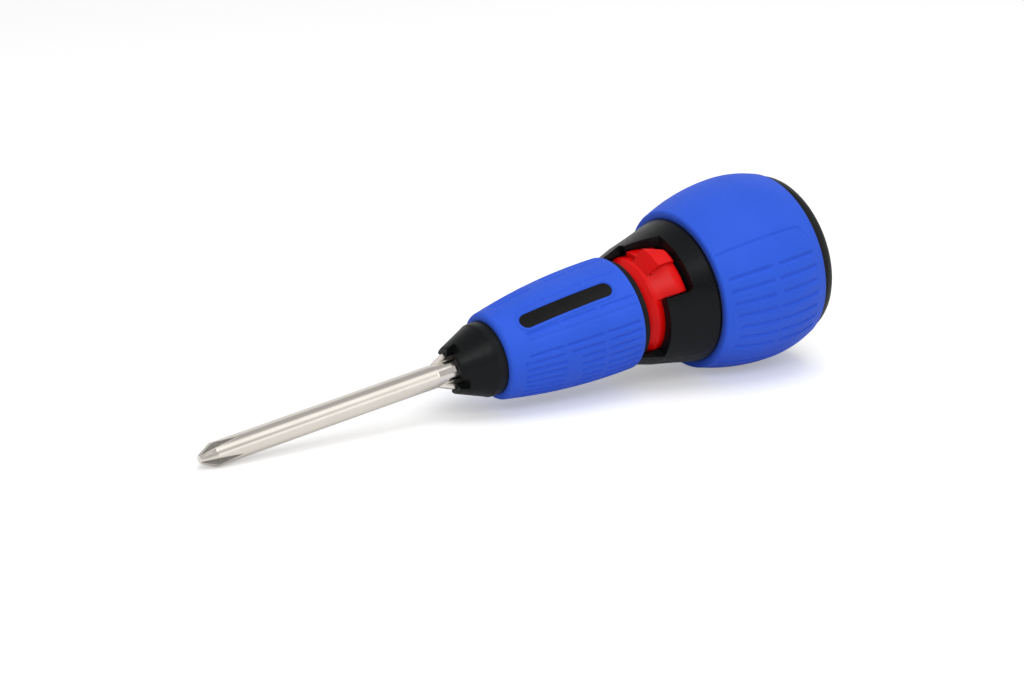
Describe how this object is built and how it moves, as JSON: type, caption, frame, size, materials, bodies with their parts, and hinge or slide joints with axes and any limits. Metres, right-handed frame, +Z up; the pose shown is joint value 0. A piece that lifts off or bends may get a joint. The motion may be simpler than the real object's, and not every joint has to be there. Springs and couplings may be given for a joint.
{
  "type": "ratcheting screwdriver",
  "caption": "Ratcheting screwdriver with a round palm knob, a turning front grip, a thumb selector ring and a removable double-ended blade.",
  "frame": {"origin": "centre of the underside of the box, on the surface that the tool lies on", "axes": "+X from the blade tip towards the butt along the surface, +Z up, -Y the side with the selector tab; the tool axis leans 8.05 degrees up towards +X"},
  "size_m": [0.179, 0.049, 0.0494],
  "materials": {
    "nickel_steel": "satin nickel plate",
    "black_plastic": "fine moulded grain",
    "blue_grip": "matte soft-touch elastomer",
    "red_plastic": "satin moulded",
    "plate_black": "smooth",
    "machined_steel": "machined",
    "spring_steel": "drawn wire",
    "bronze": "sintered",
    "zinc": "die cast",
    "black_rubber": "matte"
  },
  "bodies": {
    "root": {"front_hub": "black_plastic", "front_bush": "bronze", "pawl_pins": "machined_steel", "forward_pawl_spring": "spring_steel", "reverse_pawl_spring": "spring_steel", "pawl_carrier": "zinc", "detent_ball": "machined_steel", "detent_spring": "spring_steel", "rear_bush": "bronze", "ratchet_collar": "black_plastic", "housing_screws": "machined_steel", "rear_core": "black_plastic", "knob_grip": "blue_grip", "end_cap": "black_plastic"},
    "front": {"nose_cone": "black_plastic", "blade_ring": "black_rubber", "front_core": "black_plastic", "front_grip": "blue_grip", "label_plate": "plate_black", "spindle": "machined_steel", "front_washer": "machined_steel", "ratchet_gear": "machined_steel", "rear_washer": "machined_steel", "circlip": "spring_steel"},
    "blade": {"blade": "nickel_steel"},
    "selector": {"selector_ring": "red_plastic"},
    "forward_pawl": {"forward_pawl": "machined_steel"},
    "reverse_pawl": {"reverse_pawl": "machined_steel"}
  },
  "joints": [
    {"name": "ratchet_turn", "type": "hinge", "parent": "root", "child": "front", "pos_m": [-0.02001, 0, 0.01226], "axis": [0.9901, 0, 0.1401], "continuous": true},
    {"name": "blade_pull", "type": "slide", "parent": "front", "child": "blade", "axis": [-0.9901, 0, -0.1401], "range_m": [0, 0.08]},
    {"name": "selector_turn", "type": "hinge", "parent": "root", "child": "selector", "pos_m": [-0.02001, 0, 0.01226], "axis": [-0.9901, 0, -0.1401], "range_deg": [0, 16]},
    {"name": "forward_pawl_swing", "type": "hinge", "parent": "root", "child": "forward_pawl", "pos_m": [0.03602, 0, 0.03028], "axis": [-0.9901, 0, -0.1401], "range_deg": [-12, 0], "deforming": ["forward_pawl_spring"]},
    {"name": "reverse_pawl_swing", "type": "hinge", "parent": "root", "child": "reverse_pawl", "pos_m": [0.03841, -0.00707, 0.01338], "axis": [-0.9901, 0, -0.1401], "range_deg": [-12, 0], "deforming": ["reverse_pawl_spring"]}
  ],
  "couplings": [
    {"joint": "forward_pawl_swing", "follows": "selector_turn", "ratio": -0.75},
    {"joint": "reverse_pawl_swing", "follows": "selector_turn", "ratio": -0.75}
  ]
}
